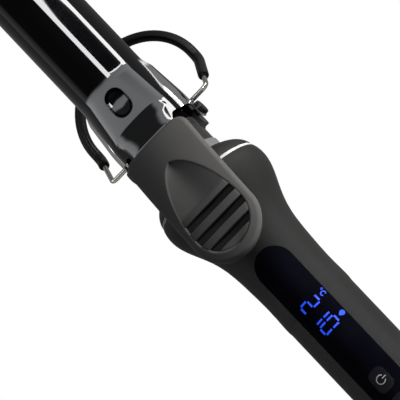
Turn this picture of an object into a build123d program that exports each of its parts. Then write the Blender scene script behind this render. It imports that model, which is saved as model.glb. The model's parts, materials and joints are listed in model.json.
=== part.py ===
"""Curling iron: a heated barrel with a spring clamp, a thumb lever, a wire safety stand and a handle
with a display, three buttons and a swivelling cord outlet.

Everything is drawn in the iron's own frame, in millimetres: +X runs along the barrel towards its tip,
+Z is the side of the thumb lever, and x = 0 is at the clamp's hinge. At the end each node is tilted and
shifted once, so that the iron rests on its stand and its tail, with its origin under its middle.
"""

from build123d import *
import os
from math import atan2, cos, degrees, sin, sqrt

# Barrel and neck
BARREL_R = 14.0
BARREL_WALL = 1.2
BARREL_BACK = -6.0
BARREL_TIP = 152.0
COOL_TIP_LENGTH = 16.0
NECK_R = 14.2
NECK_WALL = 2.2
NECK_BACK = -42.0

# Handle
WALL = 2.2
GRIP_R = 15.05
GRIP_START = -93.0
TAIL_X = -195.0
NOSE_BACK = -28.9
SHELL_FRONT = -30.2
# Oval sections behind the nose: (x, half width, half height)
NOSE_SECTIONS = ((-21.6, 15.6, 15.2), (-22.9, 18.4, 16.6), (-25.0, 21.0, 18.0), (NOSE_BACK, 22.9, 19.3))
SHELL_SECTIONS = (
    (SHELL_FRONT, 23.3, 19.6),
    (-35.6, 23.9, 20.1),
    (-44.5, 21.1, 18.6),
    (-54.0, 17.4, 16.6),
    (-63.5, 15.8, 15.6),
    (-73.5, 15.2, 15.17),
    (-84.0, 15.07, 15.07),
    (GRIP_START, GRIP_R, GRIP_R),
)

# Clamp and its hinge
CLAMP_PIVOT_X, CLAMP_PIVOT_Z = -4.6, -3.0
CLAMP_TIP = 148.0
CLAMP_R = 15.1
SHEET = 0.8
CLAMP_EDGE_Z = 1.0
# Oval sections of the plate's outside, flaring towards the hinge
CLAMP_SECTIONS = ((32.0, CLAMP_R, CLAMP_R), (19.0, 16.4, 15.2), (7.0, 18.0, 15.4), (-2.0, 17.9, 15.5))
EAR_R = 3.4
EAR_Y = 17.0
SADDLE_FRONT, SADDLE_BACK = 6.0, -10.0
SADDLE_R = 14.25
SADDLE_SIDE_Y = 15.8
SCREW_R = 1.2
SHOULDER_R = 1.7

# Thumb lever
LEVER_FRONT, LEVER_END = -7.5, -67.9
LEVER_WIDTH = 29.5
LEVER_THICK = 3.6
LEVER_TOP_FRONT, LEVER_TOP_MID, LEVER_TOP_END = 24.0, 31.8, 35.2
CROWN_SAG = 2.4
SCOOP_FRONT, SCOOP_SHOULDER, SCOOP_MID, SCOOP_R = -20.3, -42.0, -51.5, 12.4
RIDGES_X = (-41.8, -48.7, -55.5)
CLAMP_OPEN = 10.0
TONGUE_WIDTH = 20.0
TONGUE_BACK = -25.0
LEVER_SCREWS_X = (-11.5, -16.5)

# Safety stand
STAND_PIVOT_X, STAND_PIVOT_Z = 0.3, -4.0
WIRE_R = 0.95
SLEEVE_R = 2.1
STAND_HALF_WIDTH = 26.7
KNEE_X, KNEE_Z = 17.0, -26.3
TOE_X = 45.0
# Bare wire from the corner to the sleeve, on the right and on the left
BARE_RIGHT, BARE_LEFT = 9.0, 20.0
STAND_FOLD, STAND_SWING = 13.0, 75.0

# Control panel on the grip
PANEL_START, PANEL_END = -65.5, -172.0
PANEL_HALF_WIDTH = 7.86
LENS = 1.5
LENS_RIM = 1.4
DIGIT_HEIGHT, DIGIT_WIDTH, STROKE = 8.0, 4.4, 0.75
DIGIT_FIRST, DIGIT_PITCH = -91.1, -5.4
BUTTON_LENGTH, BUTTON_WIDTH = 10.0, 7.2
BUTTON_FIRST, BUTTON_PITCH = -132.8, -13.0
BUTTON_TRAVEL = 0.4
BUTTON_NAMES = ("power_button", "plus_button", "minus_button")
BOARD_TOP = 5.2
BOARD_THICK = 1.2
BOARD_FRONT, BOARD_BACK = -64.0, -167.0

# Swivelling cord outlet
GLAND_R = 6.0
GLAND_END = -207.0
CORD_R = 3.2
CORD_DEPTH = 14.0
DRUM_R = 5.0

RUNNING = 0.06
GAP = 0.1
MID = (Align.CENTER, Align.CENTER, Align.MIN)


def facing_tail(x, y=0.0, z=0.0):
    """The plane across the iron at x, looking towards the tail."""
    return Plane(origin=(x, y, z), x_dir=(0, 1, 0), z_dir=(-1, 0, 0))


def rod(front, back, radius, y=0.0, z=0.0):
    """A round bar along X."""
    return facing_tail(front, y, z) * Cylinder(radius, front - back, align=MID)


def tube(front, back, outer, inner):
    return rod(front, back, outer) - rod(front + 1, back - 1, inner)


def cross_rod(x, z, low, high, radius):
    """A round bar along Y, from y = low to y = high."""
    start = Plane(origin=(x, low, z), x_dir=(1, 0, 0), z_dir=(0, 1, 0))
    return start * Cylinder(radius, high - low, align=MID)


def post(x, y, low, high, radius):
    """A round bar along Z."""
    return Pos(x, y, low) * Cylinder(radius, high - low, align=MID)


def block(x, y, z):
    """A box given by its (low, high) along each axis."""
    middle = Pos((x[0] + x[1]) / 2, (y[0] + y[1]) / 2, (z[0] + z[1]) / 2)
    return middle * Box(abs(x[1] - x[0]), abs(y[1] - y[0]), abs(z[1] - z[0]))


def upright(sketch, low, high):
    """A sketch on the XY plane made solid from z = low to z = high."""
    return Pos(0, 0, low) * extrude(sketch, high - low)


def side_profile(points, half_width):
    """A closed outline of (x, z) points made solid across the iron."""
    outline = Polyline(*[(x, -half_width, z) for x, z in points], close=True)
    return extrude(make_face(outline), 2 * half_width, dir=(0, 1, 0))


def both_sides(shape):
    return shape + mirror(shape, Plane.XZ)


def joined(shapes):
    """Several shapes as one part."""
    whole = shapes[0]
    for shape in shapes[1:]:
        whole += shape
    return whole


def wire_run(points, radius):
    """A stiff lead of straight runs, with a ball at each turn."""
    parts = []
    for start, end in zip(points, points[1:]):
        run = Vector(*end) - Vector(*start)
        parts.append(Plane(origin=start, z_dir=run) * Cylinder(radius, run.length, align=MID))
    for point in points[1:-1]:
        parts.append(Pos(*point) * Sphere(radius))
    return joined(parts)


def oval_loft(sections, inset=0.0):
    """A smooth solid through oval sections, drawn in by inset all round."""
    return loft([facing_tail(x) * Ellipse(wide - inset, high - inset) for x, wide, high in sections])


def handle_body(inset=0.0):
    """The handle's solid envelope behind the trim ring, drawn in by inset."""
    grip = rod(GRIP_START, TAIL_X + inset, GRIP_R - inset)
    if inset == 0.0:
        grip = fillet(grip.edges().sort_by(Axis.X)[0], 3.5)
    return oval_loft(SHELL_SECTIONS, inset) + grip


# ---------------------------------------------------------------- barrel, neck and heater


def barrel_parts():
    inner = BARREL_R - BARREL_WALL
    plug = rod(BARREL_TIP, BARREL_TIP - 12, inner - RUNNING)
    plug -= rod(BARREL_TIP - 2, BARREL_TIP - 13, inner - 2)
    cap = rod(BARREL_TIP + COOL_TIP_LENGTH, BARREL_TIP, BARREL_R)
    cap = fillet(cap.edges().sort_by(Axis.X)[-1], 6)
    bore = NECK_R - NECK_WALL
    sleeve = tube(BARREL_BACK, NECK_BACK, NECK_R, bore)
    spigot = tube(BARREL_BACK + 14, BARREL_BACK, inner - RUNNING, bore - 0.8)
    flange = tube(-36.5, -38.5, 16.0, NECK_R - 1)
    screw_holes = saddle_screw_shanks(SCREW_R + RUNNING)
    return {
        "barrel_tube": tube(BARREL_TIP, BARREL_BACK, BARREL_R, inner) - screw_holes,
        "cool_tip": cap + plug,
        "neck_sleeve": sleeve + spigot + flange - screw_holes,
        "neck_collar": fillet(tube(-17.6, -21.2, 14.7, NECK_R + 0.03).edges().sort_by(Axis.X)[-1], 0.2),
        "heat_shield": rod(-12.0, -13.0, 11.9) - both_sides(rod(-11, -14, 1.2, 4.0)) - rod(-11, -14, 0.9),
    }


def heater_parts():
    front, back = 132.0, 22.0
    spread = BARREL_R - BARREL_WALL - 0.1
    half = tube(front, back, spread, spread - 1.8)
    half += block((back, front), (-spread + 1, spread - 1), (1.5, 3.3)) & rod(front, back, spread)
    upper = half & block((back, front), (-20, 20), (1.5, 20))
    bead = rod(62.0, 56.0, 1.1, 0.0, 4.6)
    sensor = bead + wire_run([(56.0, 0, 4.6), (18.0, 0, 4.6), (12.0, 0, 0), (BOARD_FRONT - 2, 0, 0)], 0.5)
    sensor += post(BOARD_FRONT - 2, 0, 0, BOARD_TOP - BOARD_THICK - 0.5, 0.5)
    sensor += Pos(BOARD_FRONT - 2, 0, 0) * Sphere(0.5)
    leads = both_sides(
        wire_run([(24.0, 4, 0), (BOARD_FRONT - 4, 4, 0), (BOARD_FRONT - 4, 4, BOARD_TOP - BOARD_THICK)], 0.8)
    )
    fuse = rod(-20.0, -30.0, 2.0, 4.0) - rod(-19, -31, 0.85, 4.0)
    return {
        "heater_shell_upper": upper,
        "heater_shell_lower": mirror(upper, Plane.XY),
        "ceramic_heater": block((24.0, 126.0), (-8, 8), (-1.4, 1.4)),
        "temperature_sensor": sensor,
        "heater_leads": leads,
        "thermal_fuse": fuse,
    }


# ---------------------------------------------------------------- hinge, clamp and lever


def saddle_screw_shanks(radius):
    return post(3.0, 0, -17.0, -11.5, radius) + post(-8.0, 0, -17.0, -11.8, radius)


def hinge_parts():
    outer = SADDLE_R + 1.2
    strap = tube(SADDLE_FRONT, SADDLE_BACK, outer, SADDLE_R)
    strap &= block((SADDLE_BACK, SADDLE_FRONT), (-20, 20), (-20, 1.0))
    cheek = block((SADDLE_BACK, SADDLE_FRONT), (13.0, SADDLE_SIDE_Y), (-8.0, 1.0))
    cheek = fillet(cheek.edges().filter_by(Axis.Y), 2.0)
    saddle = strap + both_sides(cheek) - rod(SADDLE_FRONT + 1, SADDLE_BACK - 1, SADDLE_R)
    saddle -= both_sides(cross_rod(CLAMP_PIVOT_X, CLAMP_PIVOT_Z, 10, 20, SCREW_R + RUNNING))
    saddle -= both_sides(cross_rod(STAND_PIVOT_X, STAND_PIVOT_Z, 10, 20, WIRE_R + RUNNING))
    saddle -= saddle_screw_shanks(SCREW_R + RUNNING)

    shoulder = cross_rod(CLAMP_PIVOT_X, CLAMP_PIVOT_Z, SADDLE_SIDE_Y, EAR_Y + SHEET + GAP, SHOULDER_R)
    shank = cross_rod(CLAMP_PIVOT_X, CLAMP_PIVOT_Z, SADDLE_R, SADDLE_SIDE_Y, SCREW_R)
    head_y = EAR_Y + SHEET + GAP
    head = cross_rod(CLAMP_PIVOT_X, CLAMP_PIVOT_Z, head_y, head_y + 1.5, 3.0)
    head = fillet(head.edges().sort_by(Axis.Y)[-1], 0.6)
    slot = block((CLAMP_PIVOT_X - 4, CLAMP_PIVOT_X + 4), (head_y + 0.9, head_y + 2), (-0.4, 0.4))
    head -= Pos(0, 0, CLAMP_PIVOT_Z) * slot
    pivot_screws = both_sides(head + shoulder + shank)

    low = -outer
    heads = post(3.0, 0, low - 1.3, low + 0.3, 2.3) + post(-8.0, 0, low - 1.3, low + 0.3, 2.3)
    heads -= rod(SADDLE_FRONT + 1, SADDLE_BACK - 1, outer + 0.02)
    saddle_screws = heads + (saddle_screw_shanks(SCREW_R) & block((-10, 10), (-3, 3), (low - 0.5, 0)))
    return {"hinge_saddle": saddle, "pivot_screws": pivot_screws, "saddle_screws": saddle_screws}


def lever_arc():
    """Centre (x, z) and radius of the arc that the lever's top follows in side view."""
    x1, x2, x3 = LEVER_FRONT, -40.0, LEVER_END
    z1, z2, z3 = LEVER_TOP_FRONT, LEVER_TOP_MID, LEVER_TOP_END
    turn = 2 * (x1 * (z2 - z3) + x2 * (z3 - z1) + x3 * (z1 - z2))
    s1, s2, s3 = x1**2 + z1**2, x2**2 + z2**2, x3**2 + z3**2
    cx = (s1 * (z2 - z3) + s2 * (z3 - z1) + s3 * (z1 - z2)) / turn
    cz = (s1 * (x3 - x2) + s2 * (x1 - x3) + s3 * (x2 - x1)) / turn
    return cx, cz, sqrt((x1 - cx) ** 2 + (z1 - cz) ** 2)


def lever_band(low, high, half_width, sag=0.0):
    """Part of a wide ring about the lever's arc, from low to high above its top, with a crowned outside."""
    cx, cz, radius = lever_arc()
    section = Polyline(
        (cx, -half_width, cz + radius + high - sag),
        (cx, -half_width, cz + radius + low),
        (cx, half_width, cz + radius + low),
        (cx, half_width, cz + radius + high - sag),
    )
    top = (
        ThreePointArc(section @ 1, (cx, 0, cz + radius + high), section @ 0)
        if sag
        else Line(section @ 1, section @ 0)
    )
    return revolve(make_face(section + top), Axis((cx, 0, cz), (0, 1, 0)), 360)


def lever_plan():
    """The lever's outline from above: straight at the front, a half circle at the thumb pad."""
    half = LEVER_WIDTH / 2
    centre = LEVER_END + half
    long_part = Pos((LEVER_FRONT + centre) / 2, 0) * Rectangle(LEVER_FRONT - centre, LEVER_WIDTH)
    rounded = fillet(long_part.vertices().group_by(Axis.X)[-1], 4.5)
    return rounded + Pos(centre, 0) * Circle(half)


def scoop_plan():
    """The thumb scoop's outline: a teardrop with its point towards the barrel."""
    nose = Pos(SCOOP_SHOULDER, 0) * Ellipse(SCOOP_FRONT - SCOOP_SHOULDER, SCOOP_R - 0.3)
    middle = Rectangle(SCOOP_SHOULDER - SCOOP_MID, 2 * SCOOP_R - 0.6)
    middle = Pos((SCOOP_SHOULDER + SCOOP_MID) / 2, 0) * middle
    return nose + middle + Pos(SCOOP_MID, 0) * Circle(SCOOP_R)


def tongue_line(x):
    """Height of the lever's underside at x."""
    cx, cz, radius = lever_arc()
    return cz + sqrt((radius - LEVER_THICK) ** 2 - (x - cx) ** 2)


def clamp_parts():
    plate = oval_loft(CLAMP_SECTIONS) + rod(CLAMP_TIP, CLAMP_SECTIONS[0][0], CLAMP_R)
    inside = oval_loft(CLAMP_SECTIONS, SHEET) + rod(CLAMP_TIP, CLAMP_SECTIONS[0][0], CLAMP_R - SHEET)
    keep = block((-3, CLAMP_TIP), (-30, 30), (CLAMP_EDGE_Z, 40))

    back_x, ramp_x = -2.0, 4.5
    rise = tongue_line(LEVER_FRONT) - 0.2
    hood_top = 15.3 + (rise - 15.3) * (ramp_x - back_x) / (ramp_x - LEVER_FRONT)
    half = TONGUE_WIDTH / 2
    hood = side_profile([(ramp_x, 15.3), (back_x, hood_top), (back_x, 8), (ramp_x, 8)], half)
    hood = fillet(hood.edges().filter_by(Axis.X, tolerance=25).sort_by(Axis.Z)[-2:], 2.0)
    hollow = [(ramp_x, 14.3), (back_x - 1, hood_top - 0.6), (back_x - 1, 5), (ramp_x, 5)]
    hollow = side_profile(hollow, half - 1)
    shell = (plate & keep) + hood - inside - hollow

    thick = 1.0
    neck_points = [
        (back_x + 0.5, hood_top - 0.15),
        (LEVER_FRONT, rise + thick),
        (TONGUE_BACK, tongue_line(TONGUE_BACK) + thick),
        (TONGUE_BACK, tongue_line(TONGUE_BACK)),
        (LEVER_FRONT, rise),
        (back_x + 0.5, hood_top - 0.15 - thick),
    ]
    tongue = side_profile(neck_points, half - 2)

    ear = cross_rod(CLAMP_PIVOT_X, CLAMP_PIVOT_Z, EAR_Y, EAR_Y + SHEET, EAR_R)
    arm = (CLAMP_PIVOT_X - EAR_R, CLAMP_PIVOT_X + EAR_R)
    ear += block(arm, (EAR_Y, EAR_Y + SHEET), (CLAMP_PIVOT_Z, 2.5))
    ear += block((-2.0, 4.0), (EAR_Y, EAR_Y + SHEET), (CLAMP_EDGE_Z, 4.0))
    ear -= cross_rod(CLAMP_PIVOT_X, CLAMP_PIVOT_Z, 15, 20, SHOULDER_R + RUNNING)
    for x in LEVER_SCREWS_X:
        tongue -= post(x, 0, 10, 40, SCREW_R)
    clamp_plate = shell + tongue + both_sides(ear)

    body = lever_band(-LEVER_THICK, 0.0, LEVER_WIDTH / 2 + 1, CROWN_SAG)
    body &= upright(lever_plan(), 10, 50)
    dish = lever_band(-1.3, 5.0, LEVER_WIDTH) & upright(scoop_plan(), 10, 60)
    lever = body - dish
    for x in RIDGES_X:
        bar = lever_band(-1.6, -0.5, 10.0) & block((x - 1.5, x + 1.5), (-10, 10), (10, 60))
        lever += bar & upright(scoop_plan(), 10, 60)
    tongue_room = side_profile(
        [(0, 10), (0, tongue_line(LEVER_FRONT) + 0.9), (LEVER_FRONT, rise + thick + 0.05)]
        + [(TONGUE_BACK - 0.1, tongue_line(TONGUE_BACK) + thick + 0.05), (TONGUE_BACK - 0.1, 10)],
        half - 1.9,
    )
    lever -= tongue_room

    screws = []
    for x in LEVER_SCREWS_X:
        share = (LEVER_FRONT - x) / (LEVER_FRONT - TONGUE_BACK)
        seat = rise + share * (tongue_line(TONGUE_BACK) - rise) - 0.7
        lever -= post(x, 0, 10, seat + 3.5, 1.0)
        screws.append(post(x, 0, seat - 1.2, seat, 2.2) + post(x, 0, seat, seat + 3.4, 0.95))
    return {"clamp_plate": clamp_plate, "thumb_lever": lever, "lever_screws": joined(screws)}


def clamp_spring():
    """A bent leaf: one leg lies on the neck, the other presses up under the tongue."""
    low = NECK_R + 0.05
    outline = [
        (-2.6, low),
        (-12.6, low),
        (-13.4, low + 1.2),
        (-6.0, low + 4.0),
        (-5.8, low + 3.5),
        (-12.6, low + 0.95),
        (-12.4, low + 0.5),
        (-2.6, low + 0.5),
    ]
    return {"clamp_spring": side_profile(outline, 4.0)}


# ---------------------------------------------------------------- stand


def rest_slope():
    """Angle between the iron's axis and the table, from the tail's underside and the stand's foot."""
    foot_x, foot_z = KNEE_X, KNEE_Z - SLEEVE_R
    run, drop = foot_x - TAIL_X, -GRIP_R - foot_z
    return atan2(drop, run)


def stand_path(bare=None):
    """One side of the stand's centreline to the toe, from the pivot, or from the end of the bare wire."""
    slope = rest_slope()
    ahead = Vector(cos(slope), 0, -sin(slope))
    pivot = Vector(STAND_PIVOT_X, SADDLE_R + 0.2, STAND_PIVOT_Z)
    corner = Vector(STAND_PIVOT_X, STAND_HALF_WIDTH - 1.3, STAND_PIVOT_Z)
    knee = Vector(KNEE_X, STAND_HALF_WIDTH, KNEE_Z)
    bend = knee + ahead * 4.0
    leg = (knee - corner).normalized()
    if bare is None:
        straight = FilletPolyline(pivot, corner, knee, bend, radius=[2.4, 6.0])
    else:
        straight = FilletPolyline(corner + leg * bare, knee, bend, radius=6.0)
    foot = Plane(origin=(bend.X, 0, bend.Z), x_dir=ahead, z_dir=(sin(slope), 0, cos(slope)))
    reach = (TOE_X - bend.X) / cos(slope)
    toe = foot.from_local_coords(EllipticalCenterArc((0, 0), reach, STAND_HALF_WIDTH, 90, arc_size=-90))
    return straight + toe


def swept(path, radius):
    start = path @ 0
    return sweep(Plane(origin=start, z_dir=path % 0) * Circle(radius), path)


def stand_parts():
    wire = both_sides(swept(stand_path(), WIRE_R))
    bore = both_sides(swept(stand_path(), WIRE_R + 0.03))
    left = swept(stand_path(BARE_LEFT), SLEEVE_R)
    right = mirror(swept(stand_path(BARE_RIGHT), SLEEVE_R), Plane.XZ)
    sleeve = left + right - bore
    return {"stand_wire": wire, "stand_sleeve": sleeve}


# ---------------------------------------------------------------- handle casing


def nose_parts():
    hollow = [(x - 2, wide - 2, high - 2) for x, wide, high in NOSE_SECTIONS[1:]]
    nose = oval_loft(NOSE_SECTIONS) - oval_loft(hollow)
    spigot = facing_tail(NOSE_BACK + 2) * extrude(Ellipse(20.7, 17.2) - Ellipse(18.9, 15.6), 6.0)
    nose = nose + spigot - rod(0, -60, NECK_R + 0.1)
    ring_front = NOSE_BACK - GAP
    ring_length = ring_front - SHELL_FRONT - GAP
    ring = facing_tail(ring_front) * extrude(Ellipse(22.9, 19.3) - Ellipse(20.8, 17.3), ring_length)
    return {"nose_cap": nose, "trim_ring": ring}


def bulkhead(front, back, hole):
    slab = block((back, front), (-40, 40), (-40, 40))
    return (handle_body(WALL / 2) & slab) - rod(front + 1, back - 1, hole)


def casing_screw_places():
    return [(-46.5, 12.2), (-46.5, -12.2), (-172.0, 8.4), (-172.0, -8.4)]


def board_screw_places():
    return [(x, y) for x in (BOARD_FRONT - 8, BOARD_BACK + 7) for y in (-8.6, 8.6)]


def stadium(front, back, half_width):
    length = front - back
    return Pos((front + back) / 2, 0) * SlotOverall(length, 2 * half_width)


def button_plan(index, grow=0.0):
    centre = BUTTON_FIRST + index * BUTTON_PITCH
    outline = RectangleRounded(BUTTON_LENGTH + 2 * grow, BUTTON_WIDTH + 2 * grow, 2.6 + grow)
    return Pos(centre, 0) * outline


def casing_parts():
    outer = handle_body()
    cavity = handle_body(WALL)
    wall = outer - cavity
    wall += bulkhead(-34.4, -36.4, NECK_R + GAP)
    wall += bulkhead(-38.6, -40.6, NECK_R + GAP)
    wall += bulkhead(-187.5, -189.5, 9.85)
    wall -= rod(TAIL_X + WALL + 1, TAIL_X - 1, GLAND_R + RUNNING)

    upper = wall & block((TAIL_X - 1, SHELL_FRONT), (-40, 40), (0, 40))
    lower = wall & block((TAIL_X - 1, SHELL_FRONT), (-40, 40), (-40, 0))
    inside = handle_body(WALL / 2)
    for x, y in casing_screw_places():
        upper += (post(x, y, 0, 30, 2.6) & inside) - post(x, y, -1, 8, 1.35)
        lower += (post(x, y, -30, 0, 2.9) & inside) - post(x, y, -31, 1, 1.45)
        lower -= post(x, y, -31, -5, 2.3)
    for x, y in board_screw_places():
        upper += (post(x, y, BOARD_TOP, 30, 1.9) & inside) - post(x, y, BOARD_TOP - 1, 8.4, 0.85)

    pocket = upright(stadium(PANEL_START, PANEL_END, PANEL_HALF_WIDTH), 5, 30) - handle_body(LENS)
    opening = stadium(PANEL_START - LENS_RIM, PANEL_END + LENS_RIM, PANEL_HALF_WIDTH - LENS_RIM)
    upper = upper - pocket - upright(opening, 5, 30)

    screws = []
    for x, y in casing_screw_places():
        screw = post(x, y, -7.5, -5, 2.15) + post(x, y, -5, 7, 1.25)
        screws.append(screw - block((x - 1.6, x + 1.6), (y - 0.3, y + 0.3), (-8, -6.5)))
    return {"upper_shell": upper, "lower_shell": lower, "shell_screws": joined(screws)}


# ---------------------------------------------------------------- panel and electronics


def segment(x, y, along_x, along_y):
    return Pos(x, y) * Rectangle(along_x, along_y)


def digit_plan(start, lit, stroke):
    """A seven-segment figure read towards the tail, its top at -Y. Segments are named a to g."""
    left, right = start - STROKE / 2, start - DIGIT_WIDTH + STROKE / 2
    middle = (left + right) / 2
    half = DIGIT_HEIGHT / 2
    bar = DIGIT_WIDTH - 2.4 * STROKE
    leg = half - 1.6 * STROKE
    quarter = (half - STROKE / 2) / 2
    edge = half - STROKE / 2
    places = {
        "a": (middle, -edge, bar, stroke),
        "b": (right, -quarter, stroke, leg),
        "c": (right, quarter, stroke, leg),
        "d": (middle, edge, bar, stroke),
        "e": (left, quarter, stroke, leg),
        "f": (left, -quarter, stroke, leg),
        "g": (middle, 0, bar, stroke),
    }
    return [segment(*places[name]) for name in lit]


def figures(stroke):
    shapes = []
    for index, lit in enumerate(("abged", "bc", "abcdef")):
        shapes += digit_plan(DIGIT_FIRST + index * DIGIT_PITCH, lit, stroke)
    return shapes


def panel_parts():
    lens_plan = stadium(PANEL_START - GAP, PANEL_END + GAP, PANEL_HALF_WIDTH - GAP)
    skin = handle_body(GAP / 2)
    lens = (upright(lens_plan, 5, 30) & skin) - handle_body(LENS - GAP / 2)
    for index in range(len(BUTTON_NAMES)):
        lens -= upright(button_plan(index, 0.15), 5, 30)
    under_figures = handle_body(GAP / 2 + 0.5)
    for shape in figures(STROKE + 0.04):
        lens -= upright(shape, 5, 30) - under_figures
    under_bars = handle_body(GAP / 2 + 0.45)
    bars = [(upright(shape, 5, 30) & skin) - under_bars for shape in figures(STROKE)]

    parts = {"display_window": lens, "display_digits": joined(bars)}
    proud = rod(GRIP_START - 1, TAIL_X + 5, GRIP_R + 0.2)
    for index, name in enumerate(BUTTON_NAMES):
        centre = BUTTON_FIRST + index * BUTTON_PITCH
        cap = upright(button_plan(index), 12.0, 30) & proud
        flange = upright(button_plan(index, 0.9), 11.6, 12.2)
        parts[name] = cap + flange + post(centre, 0, BOARD_TOP + 4.9, 11.8, 1.4)
    return parts


def electronics_parts():
    low = BOARD_TOP - BOARD_THICK
    board = block((BOARD_BACK, BOARD_FRONT), (-10.8, 10.8), (low, BOARD_TOP))
    screws = []
    for x, y in board_screw_places():
        board -= post(x, y, 0, 10, 1.1)
        screws.append(post(x, y, low - 1.4, low, 1.6) + post(x, y, 3, 8.0, 0.8))
    middle = DIGIT_FIRST + DIGIT_PITCH - DIGIT_WIDTH / 2
    switches = []
    for index in range(len(BUTTON_NAMES)):
        centre = BUTTON_FIRST + index * BUTTON_PITCH
        switch = block((centre - 3, centre + 3), (-3, 3), (BOARD_TOP, BOARD_TOP + 3.4))
        switches.append(switch + post(centre, 0, BOARD_TOP + 3.4, BOARD_TOP + 4.4, 1.6))
    return {
        "control_board": board,
        "board_screws": joined(screws),
        "led_module": block((middle - 10, middle + 10), (-6, 6), (BOARD_TOP, BOARD_TOP + 5.8)),
        "tact_switches": joined(switches),
        "controller_chip": block((-84.0, -74.0), (-4, 4), (low - 1.6, low)),
        "triac": block((-104.0, -94.0), (-4.5, 4.5), (low - 4.5, low)),
        "capacitor": rod(-110.0, -124.0, 4.6, 0, low - 4.7),
        "lead_terminal": block((-150.0, -158.0), (-5, 5), (low - 6.0, low)),
    }


# ---------------------------------------------------------------- swivelling cord outlet


def swivel_parts():
    flange_x = TAIL_X + WALL + 0.1
    shaft = rod(flange_x + 2, GLAND_END, GLAND_R)
    collar = rod(TAIL_X - 0.4, TAIL_X - 4.4, 7.6)
    collar = fillet(collar.edges().filter_by(GeomType.CIRCLE), 0.8)
    flange = rod(flange_x + 2, flange_x, 8.0)
    drum = rod(-176.0, flange_x + 1, DRUM_R)
    gland = shaft + collar + flange + drum - rod(GLAND_END + CORD_DEPTH, GLAND_END - 1, CORD_R)
    gland = gland - rod(-175.0, GLAND_END + CORD_DEPTH, 1.6)
    ring_places = ((-178.5, -180.5), (-184.0, -186.0))
    rings = [tube(front, back, GLAND_R, DRUM_R + 0.02) for front, back in ring_places]
    socket = tube(-175.0, flange_x, 9.8, 8.1)
    brushes = []
    leads = []
    for (front, back), side in zip(ring_places, (1, -1)):
        low, high = sorted((side * (GLAND_R + 0.08), side * 10.2))
        brushes.append(block((back + 0.2, front - 0.2), (-1.5, 1.5), (low, high)))
        socket -= block((back, front), (-1.7, 1.7), (low, high))
        y, out = side * 3.0, side * 11.0
        route = [(back + 1, 0, side * 10.2), (back + 1, 0, out), (-170.5, 0, out)]
        leads.append(wire_run(route + [(-168.5, y, -1.0), (-158.0, y, -1.0)], 0.7))
    socket -= rod(-174.0, flange_x - 1, 8.1)
    return {
        "swivel_gland": gland,
        "slip_rings": joined(rings),
        "swivel_socket": socket,
        "contact_brushes": joined(brushes),
        "mains_leads": joined(leads),
    }


# ---------------------------------------------------------------- assembly

BODIES = {
    "clamp": ("clamp_plate", "thumb_lever", "lever_screws"),
    "stand": ("stand_wire", "stand_sleeve"),
    "power_button": ("power_button",),
    "plus_button": ("plus_button",),
    "minus_button": ("minus_button",),
    "cord_swivel": ("swivel_gland", "slip_rings"),
}


def build_parts():
    parts = {}
    for make in (
        barrel_parts,
        heater_parts,
        hinge_parts,
        clamp_parts,
        clamp_spring,
        stand_parts,
        nose_parts,
        casing_parts,
        panel_parts,
        electronics_parts,
        swivel_parts,
    ):
        parts.update(make())
    return parts


PARTS = build_parts()
TILT = Rot(0, -degrees(rest_slope()), 0)
tilted = Compound(children=[TILT * part for part in PARTS.values()]).bounding_box()
REST = Pos(-(tilted.min.X + tilted.max.X) / 2, 0, -tilted.min.Z) * TILT

os.makedirs("parts", exist_ok=True)
for name, part in PARTS.items():
    export_step(REST * part, f"parts/{name}.step")
print("size", tilted.size, "tilt", degrees(rest_slope()))
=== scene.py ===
"""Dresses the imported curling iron: clamp plate, lever, spring, stand, marks, finishes and studio."""

import json
from math import cos, pi, radians, sin, sqrt

import bmesh
import bpy
import numpy as np
from bpy.props import FloatProperty, PointerProperty
from mathutils import Matrix, Vector
from mathutils.kdtree import KDTree


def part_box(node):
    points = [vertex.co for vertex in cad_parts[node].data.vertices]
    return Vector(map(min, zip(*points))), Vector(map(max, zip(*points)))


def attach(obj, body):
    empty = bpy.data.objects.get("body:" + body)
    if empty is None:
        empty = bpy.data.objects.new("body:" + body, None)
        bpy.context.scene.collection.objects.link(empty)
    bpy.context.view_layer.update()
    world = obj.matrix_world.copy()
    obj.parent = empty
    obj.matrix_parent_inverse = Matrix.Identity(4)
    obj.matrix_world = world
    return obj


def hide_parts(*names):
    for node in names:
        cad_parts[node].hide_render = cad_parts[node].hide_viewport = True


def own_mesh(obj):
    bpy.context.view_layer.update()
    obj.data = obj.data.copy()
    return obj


bl_info = {
    "name": "Curling Iron",
    "version": (1, 0, 0),
    "blender": (4, 5, 0),
    "location": "View3D > Sidebar > Curling Iron",
    "description": "Builds a curling iron's visible pieces and finishes around its packed frame",
    "category": "Object",
}

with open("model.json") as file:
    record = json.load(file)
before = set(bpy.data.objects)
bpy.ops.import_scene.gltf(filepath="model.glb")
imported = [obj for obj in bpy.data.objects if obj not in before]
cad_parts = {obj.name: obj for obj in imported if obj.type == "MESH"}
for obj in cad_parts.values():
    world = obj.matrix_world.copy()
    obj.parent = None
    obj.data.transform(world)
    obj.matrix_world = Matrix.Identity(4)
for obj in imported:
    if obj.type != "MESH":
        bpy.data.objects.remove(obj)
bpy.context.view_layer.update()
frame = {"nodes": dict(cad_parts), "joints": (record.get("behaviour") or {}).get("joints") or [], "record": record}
MM = 0.001

# The iron's own frame, in millimetres: +X to the tip, +Z the lever's side, x = 0 near the hinge.
CLAMP_HINGE = Vector((-4.6, 0.0, -3.0))
EAR_RADIUS, EAR_INSIDE, EAR_OUTSIDE = 3.4, 17.0, 17.8
LEVER_MIDDLE = -40.0
TONGUE_FRONT, TONGUE_BACK, TONGUE_HALF_WIDTH, TONGUE_SHEET = -6.6, -25.0, 8.0, 1.0


def joint(name):
    """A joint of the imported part, by its name."""
    return next(j for j in frame["joints"] if j["name"] == name)


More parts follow.
